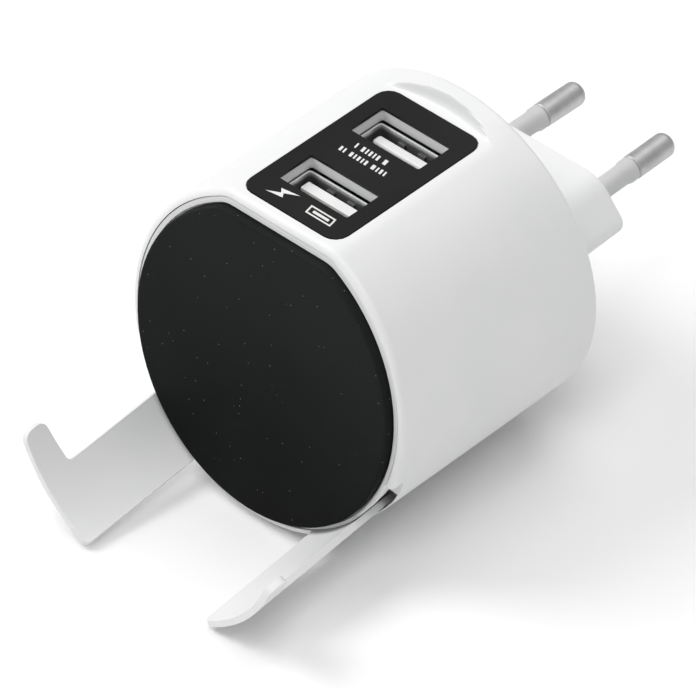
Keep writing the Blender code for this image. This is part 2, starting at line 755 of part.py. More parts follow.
SLEEVE_BORE = PIN_CORE_RADIUS + SLEEVE_GAP
HOLE_RADIUS = SLEEVE_RADIUS + SEAT_GAP
TIP_START = SLEEVE_LENGTH + SLEEVE_GAP
carrier_back = PLUG_FACE - PLUG_WALL - SEAT_GAP
carrier_front = carrier_back - CARRIER_LENGTH
pin_carrier = loft(
    "pin_carrier",
    [plug_ring(-PLUG_WALL - SEAT_GAP, depth) for depth in (carrier_front, carrier_back)],
    WHITE_PLASTIC,
)
for side, hand in ((-1, "left"), (1, "right")):
    x = side * PIN_PITCH / 2
    profile = [(PLUG_FACE - PIN_INSIDE, PIN_CORE_RADIUS), (PLUG_FACE + TIP_START, PIN_CORE_RADIUS)]
    profile += [(PLUG_FACE + TIP_START, PIN_RADIUS - 0.2), (PLUG_FACE + TIP_START + 0.2, PIN_RADIUS)]
    straight = PLUG_FACE + PIN_LENGTH - PIN_TIP_ROUND
    for t in arc_steps(5):
        a = t * pi / 2
        reach = PIN_RADIUS - PIN_TIP_ROUND * (1 - cos(a))
        profile.append((straight + PIN_TIP_ROUND * sin(a), reach))
    toe_in(turned(f"pin_{hand}", profile, x, NICKEL), side)
    sleeve_end = PLUG_FACE + SLEEVE_LENGTH
    sleeve_profile = [
        (PLUG_FACE - SLEEVE_INSIDE, SLEEVE_RADIUS),
        (sleeve_end - COLLAR_LENGTH, SLEEVE_RADIUS),
        (sleeve_end - COLLAR_LENGTH + COLLAR_CONE, COLLAR_RADIUS),
        (sleeve_end, COLLAR_RADIUS),
    ]
    toe_in(turned(f"pin_sleeve_{hand}", sleeve_profile, x, GREY_SLEEVE, SLEEVE_BORE), side)
    ends = ((x, carrier_front - 5.0, AXIS_DROP), (x, PLUG_FACE + 3.0, AXIS_DROP))
    pin_hole = cylinder(f"pin_hole_form_{hand}", *ends, HOLE_RADIUS, None, 24)
    boolean(housing_shell, pin_hole, "DIFFERENCE")
    boolean(pin_carrier, pin_hole, "DIFFERENCE")
    lead_end = PLUG_FACE - PIN_INSIDE - SEAT_GAP
    lead_start = MAIN_BOARD_START + MAIN_BOARD_LENGTH - LEAD_OVERLAP
    cylinder(
        f"pin_lead_{hand}",
        (x, lead_start, AXIS_DROP),
        (x + side * 0.15, lead_end, AXIS_DROP),
        LEAD_RADIUS,
        COPPER_WIRE,
        12,
    )


# USB sockets: bent metal shell, plastic tongue on its base block, and four contacts each
for number, (place, middle) in enumerate(zip(("front", "rear"), PORT_MIDDLES)):
    outer = rectangle(USB_WIDTH / 2, USB_DEPTH / 2, 0.6)
    inner = rectangle(USB_WIDTH / 2 - USB_SHEET, USB_DEPTH / 2 - USB_SHEET, 0.35)
    usb_shell = loft(
        f"usb_shell_{place}",
        [top_outline(outer, middle, height) for height in (USB_BOTTOM, USB_TOP)],
        STEEL_SHEET,
    )
    usb_hollow = loft(
        f"usb_hollow_form_{place}",
        [
            top_outline(inner, middle, height)
            for height in (USB_BOTTOM + USB_SHEET, USB_TOP + 2.0)
        ],
        None,
    )
    boolean(usb_shell, usb_hollow, "DIFFERENCE")
    base_top = USB_BOTTOM + USB_SHEET + SEAT_GAP + TONGUE_BASE
    block_half_width = USB_WIDTH / 2 - USB_SHEET - SEAT_GAP
    block_half_depth = USB_DEPTH / 2 - USB_SHEET - SEAT_GAP
    tongue = box(
        f"usb_tongue_{place}",
        (-block_half_width, middle - block_half_depth, base_top - TONGUE_BASE),
        (block_half_width, middle + block_half_depth, base_top),
        TONGUE_PLASTIC,
    )
    tongue_middle = middle + TONGUE_OFFSET
    tongue_face = tongue_middle - TONGUE_THICKNESS / 2
    blade = box(
        f"tongue_form_{place}",
        (-TONGUE_WIDTH / 2, tongue_face, base_top - 1.0),
        (TONGUE_WIDTH / 2, tongue_face + TONGUE_THICKNESS, USB_TOP - TONGUE_SET_BACK),
        None,
    )
    boolean(tongue, blade, "UNION")
    contact_back = tongue_face - SLEEVE_GAP
    contact_top = USB_TOP - TONGUE_SET_BACK - CONTACT_SET_BACK
    places = (-CONTACT_OUTER, -CONTACT_INNER, CONTACT_INNER, CONTACT_OUTER)
    for index, x in enumerate(places, 1):
        box(
            f"usb_{place}_contact_{index}",
            (x - CONTACT_WIDTH / 2, contact_back - CONTACT_THICKNESS, contact_top - CONTACT_LENGTH),
            (x + CONTACT_WIDTH / 2, contact_back, contact_top),
            GILT,
        )


# Boards: the sockets stand on the port board, and a header joins it to the main board
port_board_top = USB_BOTTOM - SEAT_GAP
port_board_bottom = port_board_top - BOARD_THICKNESS
port_board_start = PORT_MIDDLES[0] - USB_DEPTH / 2 - PORT_BOARD_MARGIN
port_board_end = PORT_MIDDLES[1] + USB_DEPTH / 2 + PORT_BOARD_MARGIN
box(
    "port_board",
    (-PORT_BOARD_HALF_WIDTH, port_board_start, port_board_bottom),
    (PORT_BOARD_HALF_WIDTH, port_board_end, port_board_top),
    BOARD_GREEN,
)
board_bottom = MAIN_BOARD_TOP - BOARD_THICKNESS
board_end = MAIN_BOARD_START + MAIN_BOARD_LENGTH
box(
    "main_board",
    (-MAIN_BOARD_HALF_WIDTH, MAIN_BOARD_START, board_bottom),
    (MAIN_BOARD_HALF_WIDTH, board_end, MAIN_BOARD_TOP),
    BOARD_GREEN,
)
part_low = MAIN_BOARD_TOP + SEAT_GAP
box(
    "board_header",
    (-HEADER_HALF_WIDTH, MAIN_BOARD_START + HEADER_MARGIN, part_low),
    (
        HEADER_HALF_WIDTH,
        MAIN_BOARD_START + HEADER_MARGIN + HEADER_THICKNESS,
        port_board_bottom - SEAT_GAP,
    ),
    DARK_PLASTIC,
)
for side, hand in ((-1, "left"), (1, "right")):
    rail_inner = MAIN_BOARD_HALF_WIDTH - RAIL_REACH
    rail_outer = CAVITY_RADIUS + HOUSING_WALL / 2
    for level, low in (
        ("upper", MAIN_BOARD_TOP + SEAT_GAP),
        ("lower", board_bottom - SEAT_GAP - RAIL_HEIGHT),
    ):
        ends = sorted((side * rail_inner, side * rail_outer))
        rail = box(
            f"rail_form_{level}_{hand}",
            (ends[0], MAIN_BOARD_START + 3.0, low),
            (ends[1], HOUSING_LENGTH - HOUSING_WALL - 1.5, low + RAIL_HEIGHT),
            None,
        )
        boolean(housing_shell, rail, "UNION")


# Parts on top of the main board
def on_board(name, place, size, look):
    """Package on the main board: place is its middle (x, depth), size is (x, depth, height)."""
    low = (place[0] - size[0] / 2, place[1] - size[1] / 2, part_low)
    high = (place[0] + size[0] / 2, place[1] + size[1] / 2, part_low + size[2])
    return box(name, low, high, look)


for number, x in ((1, -OUTPUT_CAN_PLACE), (2, OUTPUT_CAN_PLACE)):
    can_height = part_low + OUTPUT_CAN_RADIUS
    can_start = MAIN_BOARD_START + OUTPUT_CAN_MARGIN
    ends = ((x, can_start, can_height), (x, can_start + OUTPUT_CAN_LENGTH, can_height))
    cylinder(f"output_capacitor_{number}", *ends, OUTPUT_CAN_RADIUS, BLACK_SLEEVING)
on_board("charge_controller", CONTROLLER_PLACE, CONTROLLER_SIZE, DARK_PLASTIC)
on_board("output_rectifier", RECTIFIER_PLACE, RECTIFIER_SIZE, DARK_PLASTIC)
on_board("optocoupler", OPTOCOUPLER_PLACE, OPTOCOUPLER_SIZE, DARK_PLASTIC)
on_board("bridge_rectifier", BRIDGE_PLACE, BRIDGE_SIZE, DARK_PLASTIC)
x, depth = DISC_PLACE
disc_bottom = part_low + DISC_LIFT
disc_radius = (port_board_bottom - DISC_CLEARANCE - disc_bottom) / 2
disc_height = disc_bottom + disc_radius
disc_ends = ((x, depth, disc_height), (x, depth + DISC_THICKNESS, disc_height))
cylinder("safety_capacitor", *disc_ends, disc_radius, BLUE_COATING)
x -= disc_radius + FUSE_RADIUS
fuse_height = part_low + FUSE_RADIUS + FUSE_LIFT
fuse_ends = ((x, FUSE_START, fuse_height), (x, FUSE_START + FUSE_LENGTH, fuse_height))
cylinder("fuse_resistor", *fuse_ends, FUSE_RADIUS, BLUE_COATING)
x, depth = CHOKE_PLACE
choke_ends = ((x, depth, part_low), (x, depth, part_low + CHOKE_HEIGHT))
cylinder("filter_choke", *choke_ends, CHOKE_RADIUS, FERRITE)

# Parts under the main board: the transformer, whose winding is round its core's middle leg, and the
# mains capacitors
under = board_bottom - SEAT_GAP
core_top = under - CORE_STANDOFF
core_bottom = core_top - CORE_HEIGHT
window_inner = CORE_LEG / 2
window_outer = CORE_WIDTH / 2 - CORE_LEG / 2
window_bottom = core_bottom + CORE_LEG / 2
window_top = core_top - CORE_LEG / 2
core_half_depth = CORE_DEPTH / 2
core = box(
    "transformer_core",
    (-CORE_WIDTH / 2, CORE_MIDDLE - core_half_depth, core_bottom),
    (CORE_WIDTH / 2, CORE_MIDDLE + core_half_depth, core_top),
    FERRITE,
)
for side, hand in ((-1, "left"), (1, "right")):
    ends = sorted((side * window_inner, side * window_outer))
    window = box(
        f"core_window_form_{hand}",
        (ends[0], CORE_MIDDLE - core_half_depth - 1.0, window_bottom),
        (ends[1], CORE_MIDDLE + core_half_depth + 1.0, window_top),
        None,
    )
    boolean(core, window, "DIFFERENCE")
winding = box(
    "transformer_winding",
    (
        SEAT_GAP - window_outer,
        CORE_MIDDLE - core_half_depth - WINDING_DEPTH,
        window_bottom + SEAT_GAP,
    ),
    (
        window_outer - SEAT_GAP,
        CORE_MIDDLE + core_half_depth + WINDING_DEPTH,
        window_top - SEAT_GAP,
    ),
    YELLOW_TAPE,
)
leg_hole = box(
    "winding_hole_form",
    (-window_inner - SEAT_GAP, CORE_MIDDLE - core_half_depth - SEAT_GAP, window_bottom - 1.0),
    (window_inner + SEAT_GAP, CORE_MIDDLE + core_half_depth + SEAT_GAP, window_top + 1.0),
    None,
)
boolean(winding, leg_hole, "DIFFERENCE")
for number, x in ((1, -CAPACITOR_SPACING / 2), (2, CAPACITOR_SPACING / 2)):
    height = under - CAPACITOR_RADIUS
    ends = ((x, CAPACITOR_START, height), (x, CAPACITOR_START + CAPACITOR_LENGTH, height))
    cylinder(f"input_capacitor_{number}", *ends, CAPACITOR_RADIUS, BLACK_SLEEVING)
x, depth = SWITCHER_PLACE
box(
    "switching_controller",
    (x - SWITCHER_SIZE[0] / 2, depth - SWITCHER_SIZE[1] / 2, under - SWITCHER_SIZE[2]),
    (x + SWITCHER_SIZE[0] / 2, depth + SWITCHER_SIZE[1] / 2, under),
    DARK_PLASTIC,
)
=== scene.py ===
from math import pi, radians, sin

import bmesh
import bpy
from mathutils import Matrix, Vector


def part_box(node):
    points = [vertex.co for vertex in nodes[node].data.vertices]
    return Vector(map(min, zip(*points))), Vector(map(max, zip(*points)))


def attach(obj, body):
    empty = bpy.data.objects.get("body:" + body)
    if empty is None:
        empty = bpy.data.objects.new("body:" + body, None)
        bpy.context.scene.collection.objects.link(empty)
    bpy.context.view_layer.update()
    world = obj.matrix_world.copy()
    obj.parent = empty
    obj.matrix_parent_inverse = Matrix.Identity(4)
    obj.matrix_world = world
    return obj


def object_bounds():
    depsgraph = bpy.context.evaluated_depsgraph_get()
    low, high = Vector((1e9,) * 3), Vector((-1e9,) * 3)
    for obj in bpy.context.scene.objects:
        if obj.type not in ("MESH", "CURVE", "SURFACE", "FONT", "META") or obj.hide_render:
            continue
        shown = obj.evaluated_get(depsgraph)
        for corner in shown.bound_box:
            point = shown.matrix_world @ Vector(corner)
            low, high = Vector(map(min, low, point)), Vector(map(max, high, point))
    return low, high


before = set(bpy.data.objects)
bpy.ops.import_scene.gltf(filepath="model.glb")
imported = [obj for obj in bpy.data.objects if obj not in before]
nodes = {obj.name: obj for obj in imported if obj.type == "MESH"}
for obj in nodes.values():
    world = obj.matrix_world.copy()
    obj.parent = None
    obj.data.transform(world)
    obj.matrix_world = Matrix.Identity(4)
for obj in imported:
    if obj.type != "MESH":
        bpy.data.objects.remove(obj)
cad_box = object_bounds()
MM = 0.001


# Camera: a long lens, so that the housing's edges stay almost parallel. It looks down on the front,
# the flat top and the right side.
EYE = Vector((0.54038, -0.60830, 0.66282))
EYE_TURN = 43.64
EYE_DIP = 40.60
EYE_ROLL = -0.31
SENSOR_WIDTH = 36.0
FOCAL_LENGTH = 362.07
camera_data = bpy.data.cameras.new("camera")
camera_data.sensor_width = SENSOR_WIDTH
camera_data.lens = FOCAL_LENGTH
camera = bpy.data.objects.new("camera", camera_data)
camera.matrix_world = (
    Matrix.Translation(EYE)
    @ Matrix.Rotation(radians(EYE_TURN), 4, "Z")
    @ Matrix.Rotation(radians(90.0 - EYE_DIP), 4, "X")
    @ Matrix.Rotation(radians(EYE_ROLL), 4, "Z")
)
bpy.context.scene.collection.objects.link(camera)
bpy.context.scene.camera = camera


# Housing shell: one thick white ABS moulding, open at the front, with the plug body on its back
# wall. The tool's surface is finely spark-eroded, so it is satin with a very fine even grain. The
# arms' lanes inside its wall are painted near black, as painted shade in the narrow slots.
ABS_TONES = ((0.80, 0.80, 0.80), (0.775, 0.78, 0.78))
ABS_ROUGHNESS = 0.42
SPARK_GRAIN = 5200.0
SPARK_DEPTH = 0.006 * MM
PLASTIC_SPECULAR = 0.45
SHARP_ANGLE = 32.0
JOIN_DISTANCE = 0.001 * MM
MIDDLE_OF_NOISE = (0.35, 0.65)
AXIS_DROP = 0.55 * MM
LANE_RADII = (25.5 * MM, 27.05 * MM)
# The two ends of the painted shade are measured back from the foremost point of the arms' hooks.
LANE_MOUTH = 27.7 * MM
LANE_END = 64.5 * MM
LANE_TOP = -12.6 * MM
LANE_PAINTED_SHADE = (0.02, 0.02, 0.021)


def smooth_group():
    """Joins a node's triangles and shades them smoothly, but keeps its real edges sharp."""
    tree = bpy.data.node_groups.new("smooth_faces", "GeometryNodeTree")
    for way in ("INPUT", "OUTPUT"):
        tree.interface.new_socket("Geometry", in_out=way, socket_type="NodeSocketGeometry")
    joined = tree.nodes.new("GeometryNodeMergeByDistance")
    joined.inputs["Distance"].default_value = JOIN_DISTANCE
    plain = tree.nodes.new("GeometryNodeRemoveAttribute")
    plain.inputs["Name"].default_value = "custom_normal"
    faces = tree.nodes.new("GeometryNodeSetShadeSmooth")
    angle = tree.nodes.new("GeometryNodeInputMeshEdgeAngle")
    steep = tree.nodes.new("ShaderNodeMath")
    steep.operation = "GREATER_THAN"
    steep.inputs[1].default_value = radians(SHARP_ANGLE)
    tree.links.new(angle.outputs[0], steep.inputs[0])
    edges = tree.nodes.new("GeometryNodeSetShadeSmooth")
    edges.domain = "EDGE"
    edges.inputs["Shade Smooth"].default_value = False
    tree.links.new(steep.outputs[0], edges.inputs["Selection"])
    chain = [tree.nodes.new("NodeGroupInput"), joined, plain, faces, edges]
    chain.append(tree.nodes.new("NodeGroupOutput"))
    for first, second in zip(chain, chain[1:]):
        tree.links.new(first.outputs[0], second.inputs[0])
    return tree


smooth_faces = smooth_group()


def shade_smoothly(piece):
    piece.modifiers.new("smooth faces", "NODES").node_group = smooth_faces
    weighted = piece.modifiers.new("flat faces stay flat", "WEIGHTED_NORMAL")
    weighted.keep_sharp = True


class Shade:
    """A value in a finish. Arithmetic on it adds Math nodes; node() adds any other node."""

    def __init__(self, tree, socket=None):
        self.tree = tree
        self.socket = socket

    def node(self, kind, settings=(), inputs=(), output=0):
        made = self.tree.nodes.new(kind)
        for name, value in dict(settings).items():
            setattr(made, name, value)
        for name, value in dict(inputs).items():
            if isinstance(value, Shade):
                self.tree.links.new(value.socket, made.inputs[name])
            else:
                made.inputs[name].default_value = value
        return Shade(self.tree, made.outputs[output])

    def math(self, operation, *values):
        return self.node("ShaderNodeMath", {"operation": operation}, dict(enumerate(values)))

    def __add__(self, other):
        return self.math("ADD", self, other)

    def __sub__(self, other):
        return self.math("SUBTRACT", self, other)

    def __mul__(self, other):
        return self.math("MULTIPLY", self, other)

    def __gt__(self, other):
        return self.math("GREATER_THAN", self, other)

    def __lt__(self, other):
        return self.math("LESS_THAN", self, other)

    __radd__ = __add__
    __rmul__ = __mul__

    def around(self, middle, spread):
        """A value that strays from middle as this noise strays from its own middle."""
        return middle + spread * (self - 0.5)

    def ramp(self, low, high):
        """0 below low, 1 above high, and smooth between."""
        settings = {"interpolation_type": "SMOOTHSTEP"}
        inputs = {"Value": self, "From Min": low, "From Max": high}
        return self.node("ShaderNodeMapRange", settings, inputs)

    def between(self, first, second):
        """The colour between two, as this value goes from 0 to 1."""
        colours = [c if isinstance(c, Shade) else (*c, 1.0) for c in (first, second)]
        inputs = {0: self, 6: colours[0], 7: colours[1]}
        return self.node("ShaderNodeMix", {"data_type": "RGBA"}, inputs, 2)

    def axis(self, number):
        """One of a point's three coordinates."""
        return self.node("ShaderNodeSeparateXYZ", {}, {0: self}, number)


class Finish(Shade):
    """A material with one Principled shader; place is a point of the piece, in metres."""

    def __init__(self, name, **constants):
        self.material = bpy.data.materials.new(name)
        self.material.use_nodes = True
        super().__init__(self.material.node_tree)
        self.shader = self.tree.nodes["Principled BSDF"]
        for name, value in constants.items():
            self.shader.inputs[name.replace("_", " ")].default_value = value
        self.place = self.node("ShaderNodeTexCoord", output=3)

    def noise(self, scale, detail=2.0):
        inputs = {"Vector": self.place, "Scale": scale, "Detail": detail}
        return self.node("ShaderNodeTexNoise", {}, inputs)

    def streaks(self, x, y, z, detail=2.0):
        """Noise with its own scale in each direction."""
        place = self.node("ShaderNodeMapping", {}, {"Vector": self.place, "Scale": (x, y, z)})
        inputs = {"Vector": place, "Scale": 1.0, "Detail": detail}
        return self.node("ShaderNodeTexNoise", {}, inputs)

    def colour(self, value):
        self.tree.links.new(value.socket, self.shader.inputs["Base Color"])

    def roughness(self, value):
        self.tree.links.new(value.socket, self.shader.inputs["Roughness"])

    def relief(self, height, depth):
        bump = self.node("ShaderNodeBump", {}, {"Height": height, "Distance": depth})
        self.tree.links.new(bump.socket, self.shader.inputs["Normal"])

    def on(self, *names):
        for name in names:
            for slot in nodes[name].material_slots:
                slot.material = self.material
            shade_smoothly(nodes[name])


def moulded(name, tones, roughness, grain, depth, mottle=60.0, spread=0.05):
    """A moulded plastic: slow drift in tone and gloss, under the fine grain of its tool."""
    finish = Finish(name, Specular_IOR_Level=PLASTIC_SPECULAR)
    drift = finish.noise(mottle, detail=3.0)
    finish.colour(drift.ramp(*MIDDLE_OF_NOISE).between(*tones))
    fine = finish.noise(grain, detail=3.0)
    finish.roughness(fine.around(drift.around(roughness, spread), spread))
    finish.relief(fine, depth)
    return finish


abs_moulding = moulded(
    "white_abs", ABS_TONES, roughness=ABS_ROUGHNESS, grain=SPARK_GRAIN, depth=SPARK_DEPTH
)
shell_moulding = moulded(
    "shell_abs", ABS_TONES, roughness=ABS_ROUGHNESS, grain=SPARK_GRAIN, depth=SPARK_DEPTH
)
across, along, up = (shell_moulding.place.axis(number) for number in range(3))
from_axis = across * across + (up + AXIS_DROP) * (up + AXIS_DROP)
in_wall = (from_axis > LANE_RADII[0] ** 2) * (from_axis < LANE_RADII[1] ** 2)
in_lane = (along > cad_box[0].y + LANE_MOUTH) * (along < cad_box[0].y + LANE_END)
# Painted shade: the shell is coloured near black inside the arms' lanes, where shade falls in the
# narrow slots.
lane_shade_mask = in_wall * in_lane * (up < LANE_TOP)
white_link = shell_moulding.shader.inputs["Base Color"].links[0]
plain_white = Shade(shell_moulding.tree, white_link.from_socket)
shell_moulding.colour(lane_shade_mask.between(plain_white, LANE_PAINTED_SHADE))
shell_moulding.on("housing_shell")


# Front plate: a white ABS disc with a skirt, pushed into the open front of the shell. Its recess
# takes the pad, and a hairline gap shows round it.
abs_moulding.on("front_plate")


# Rubber pad: a soft black disc glued into the plate's recess, so that a phone doesn't slide or
# scratch. Rubber draws dust, so specks and a few short fibres lie on it.
RUBBER_BLACK = (0.0050, 0.0051, 0.0053)
RUBBER_GREY = (0.0150, 0.0175, 0.0168)
RUBBER_ROUGHNESS = 0.62
RUBBER_GRAIN = 3800.0
RUBBER_DEPTH = 0.008 * MM
BLOOM_SHARE = 0.25
MOST_OF_NOISE = (0.3, 0.7)
DUST = (0.25, 0.26, 0.27)
DUST_HEIGHT = 0.6
# A cell of the pattern holds a speck or a fibre where its random number is above the pick.
SPECK_SPACING = 1.0 * MM
SPECK_RADIUS = 0.07
SPECK_PICK = 0.72
FIBRE_SPACING = 3.2 * MM
FIBRE_RADIUS = 0.03
FIBRE_PICK = 0.93
FIBRE_TONE = 0.35
FIBRE_TURN = 0.9
FIBRE_STRETCH = 0.12

rubber = Finish("black_rubber", Specular_IOR_Level=0.05)


def scattered(place, scale, radius, pick):
    """Spots of one radius in some cells of a pattern, and the random number of each cell."""
    inputs = {"Vector": place, "Scale": scale}
    distance = rubber.node("ShaderNodeTexVoronoi", {}, inputs)
    cell = rubber.node("ShaderNodeTexVoronoi", {}, inputs, 1)
    number = rubber.node("ShaderNodeSeparateColor", {}, {"Color": cell})
    return (distance < radius) * (number > pick), number


bloom = rubber.noise(45.0, detail=4.0)
rubber_grain = rubber.noise(RUBBER_GRAIN)
specks, speck_number = scattered(rubber.place, 1.0 / SPECK_SPACING, SPECK_RADIUS, SPECK_PICK)
fibre_inputs = {
    "Vector": rubber.place,
    "Rotation": (0.0, FIBRE_TURN, 0.0),
    "Scale": (1.0 / FIBRE_SPACING, 1.0 / FIBRE_SPACING, FIBRE_STRETCH / FIBRE_SPACING),
}
fibre_place = rubber.node("ShaderNodeMapping", {}, fibre_inputs)
fibres, _ = scattered(fibre_place, 1.0, FIBRE_RADIUS, FIBRE_PICK)
dust = rubber.math("MAXIMUM", specks * speck_number, fibres * FIBRE_TONE)
pad_low, pad_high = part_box("rubber_pad")
# Painted light: the pad is painted greyer towards its top, as if lit from above; a quarter of the
# grey follows the rubber's bloom.
pad_painted_light = rubber.place.axis(2).ramp(pad_low.z, pad_high.z)
bloom_and_painted_light = BLOOM_SHARE * bloom.ramp(*MOST_OF_NOISE) + (1.0 - BLOOM_SHARE) * pad_painted_light
rubber.colour(dust.between(bloom_and_painted_light.between(RUBBER_BLACK, RUBBER_GREY), DUST))
rubber.roughness(bloom.around(RUBBER_ROUGHNESS, 0.12) + 0.1 * dust)
rubber.relief(rubber_grain + DUST_HEIGHT * dust, RUBBER_DEPTH)
rubber.on("rubber_pad")


# Label: a satin black polycarbonate film, stuck in a shallow recess round the two sockets. White
# ink printed on it marks the ports and the output with plain generic signs.
FILM_TONES = ((0.0085, 0.0085, 0.0088), (0.0110, 0.0110, 0.0114))
FILM_SPECULAR = 0.22
FINE_DEPTH = 0.004 * MM
INK_TONES = ((0.78, 0.78, 0.77), (0.72, 0.72, 0.71))
INK_THICKNESS = 0.02 * MM
CREASE_ANGLE = 35.0
# The prints' own sizes are in mm.
PRINT_SLANT = 0.2
PRINT_GAP = 0.36
PORT_LINE = 0.28
PORT_WIDTH = 4.9
PORT_SIDE = 1.22
BOLT = ((-6.1, 1.7), (-3.1, 2.15), (-3.65, 2.95), (-1.4, 4.1), (-4.7, 3.6), (-4.0, 2.8))
SMALL_BLOCKS = (0.42, 0.3, -0.2, 0.5, 0.3, 0.42, 0.3, 0.42, -0.2, 0.62, 0.3, 0.42, 0.3)

film = moulded(
    "label_film",
    FILM_TONES,
    roughness=0.36,
    grain=2600.0,
    depth=FINE_DEPTH,
    mottle=90.0,
    spread=0.06,
)
film.shader.inputs["Specular IOR Level"].default_value = FILM_SPECULAR
film.on("label_plate")
ink = moulded("white_ink", INK_TONES, roughness=0.5, grain=4200.0, depth=FINE_DEPTH)
label_low, label_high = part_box("label_plate")
label_middle_x = (label_low.x + label_high.x) / 2


def add_solid(bm, rings):
    """Adds a closed skin through rings of points, in metres, that are all of one length."""
    loops = [[bm.verts.new(point) for point in ring] for ring in rings]
    for first, second in zip(loops, loops[1:]):
        for i in range(len(first)):
            j = (i + 1) % len(first)
            bm.faces.new((first[i], first[j], second[j], second[i]))
    bm.faces.new(loops[0])
    bm.faces.new(loops[-1])


def dressed(name, bm, finish):
    """Turns a closed bmesh into a piece of the housing."""
    bmesh.ops.recalc_face_normals(bm, faces=bm.faces)
    mesh = bpy.data.meshes.new(name)
    bm.to_mesh(mesh)
    bm.free()
    mesh.shade_smooth()
    mesh.set_sharp_from_angle(angle=radians(CREASE_ANGLE))
    mesh.materials.append(finish.material)
    piece = bpy.data.objects.new(name, mesh)
    bpy.context.scene.collection.objects.link(piece)
    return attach(piece, "housing")


def print_mark(name, outlines):
    """Flat ink shapes. Points are (right, back) in mm from the middle of the label's front edge."""
    bm = bmesh.new()
    for outline in outlines:
        rings = [
            [(label_middle_x + x * MM, label_low.y + y * MM, level) for x, y in outline]
            for level in (label_high.z, label_high.z + INK_THICKNESS)
        ]
        add_solid(bm, rings)
    dressed(name, bm, ink)


def slanted_bar(x, y, width, height):
    lean = PRINT_SLANT * height
    return [(x, y), (x + width, y), (x + width - lean, y + height), (x - lean, y + height)]


def print_words(name, x, y, height, widths):
    """A line of plain blocks where small print would be. A width below 0 leaves a space."""
    blocks = []
    for width in widths:
        if width > 0:
            blocks.append(slanted_bar(x, y, width, height))
        x += abs(width) + PRINT_GAP
    print_mark(name, blocks)


port_outline = [
    slanted_bar(1.5, 2.0, PORT_WIDTH, PORT_LINE),
    slanted_bar(1.2, 3.5, PORT_WIDTH, PORT_LINE),
    slanted_bar(1.45, 2.28, PORT_LINE, PORT_SIDE),
    slanted_bar(6.07, 2.28, PORT_LINE, PORT_SIDE),
]
port_tongue = slanted_bar(2.35, 2.62, 3.1, 0.5)
print_mark("print_bolt", [BOLT])
print_mark("print_port", [*port_outline, port_tongue])
print_words("print_line_1", -4.8, 15.55, 1.0, SMALL_BLOCKS)
print_words("print_line_2", -3.5, 17.5, 1.1, SMALL_BLOCKS[1:10])


# USB sockets: a tin-plated steel sheet folded round each mouth, with two sprung fingers pressed out
# of the back face, and inside it a white nylon tongue that carries four gilt contacts.
STEEL_BRIGHT = (0.86, 0.86, 0.86)
STEEL_DULL = (0.74, 0.75, 0.76)
STEEL_PAINTED_SHADE = (0.20, 0.20, 0.205)
STEEL_SHEET = 0.35 * MM
RIM_PAINTED_LIGHT_DEPTH = 0.9 * MM
RIM_FULL = 0.18 * MM
GILT_TONES = ((0.72, 0.52, 0.22), (0.83, 0.64, 0.32))
NYLON_TONES = ((0.80, 0.80, 0.80), (0.73, 0.73, 0.73))
NYLON_ROUND = 0.55 * MM
SMALLEST_BEND = 0.5  # degrees between faces that count as two
SPRING_SHEET = 0.22 * MM
SPRING_WIDTH = 1.7 * MM
SPRING_PLACE = 2.0 * MM
SPRING_DROP = 1.3 * MM
SPRING_LENGTH = 5.0 * MM
SPRING_BOW = 0.55 * MM
SPRING_CURVE = 1.5
SPRING_GAP = 0.03 * MM
SPRING_STEPS = 14
# A spring's width at its top and the length of it that bows, as shares of the whole.
SPRING_NARROW = 0.8
SPRING_BOWED = 0.8

steel = Finish("plated_steel", Metallic=0.75)
streak = steel.streaks(2600.0, 2600.0, 180.0, detail=3.0)
# Painted shade and highlight: the steel is painted dark deep inside each socket and bright near its
# rim.
rim_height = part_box("usb_shell_front")[1].z
rim_painted_light = steel.place.axis(2).ramp(rim_height - RIM_PAINTED_LIGHT_DEPTH, rim_height - RIM_FULL)
bare = streak.ramp(*MOST_OF_NOISE).between(STEEL_DULL, STEEL_BRIGHT)
steel.colour(rim_painted_light.between(STEEL_PAINTED_SHADE, bare))
steel.roughness(streak.around(0.3, 0.16))
steel.relief(streak, 0.003 * MM)
gilt = Finish("gilt_contact", Metallic=1.0)
wipe = gilt.streaks(4000.0, 4000.0, 300.0)
gilt.colour(wipe.ramp(*MOST_OF_NOISE).between(*GILT_TONES))
gilt.roughness(wipe.around(0.28, 0.14))
gilt.relief(wipe, 0.002 * MM)
nylon = moulded("white_nylon", NYLON_TONES, roughness=0.38, grain=3000.0, depth=FINE_DEPTH)


def soften(name, width, segments):
    """Rounds a node's sharp edges, as its tool did."""
    flat = nodes[name].modifiers.new("whole flat faces", "DECIMATE")
    flat.decimate_type = "DISSOLVE"
    flat.angle_limit = radians(SMALLEST_BEND)
    rounding = nodes[name].modifiers.new("soft edges", "BEVEL")
    rounding.limit_method = "ANGLE"
    rounding.angle_limit = radians(SHARP_ANGLE)
    rounding.width = width
    rounding.segments = segments
    rounding.harden_normals = True


def spring_ring(middle, back, top, share):
    """The four corners of a spring at one share of its length, from its top down."""
    bow = SPRING_BOW * sin(pi * min(share / SPRING_BOWED, 1.0)) ** SPRING_CURVE
    half = SPRING_WIDTH / 2 * (SPRING_NARROW + (1.0 - SPRING_NARROW) * share)
    y = back - SPRING_GAP - bow
    z = top - SPRING_DROP - SPRING_LENGTH * share
    left, right = middle - half, middle + half
    return [(left, y, z), (right, y, z), (right, y - SPRING_SHEET, z), (left, y - SPRING_SHEET, z)]


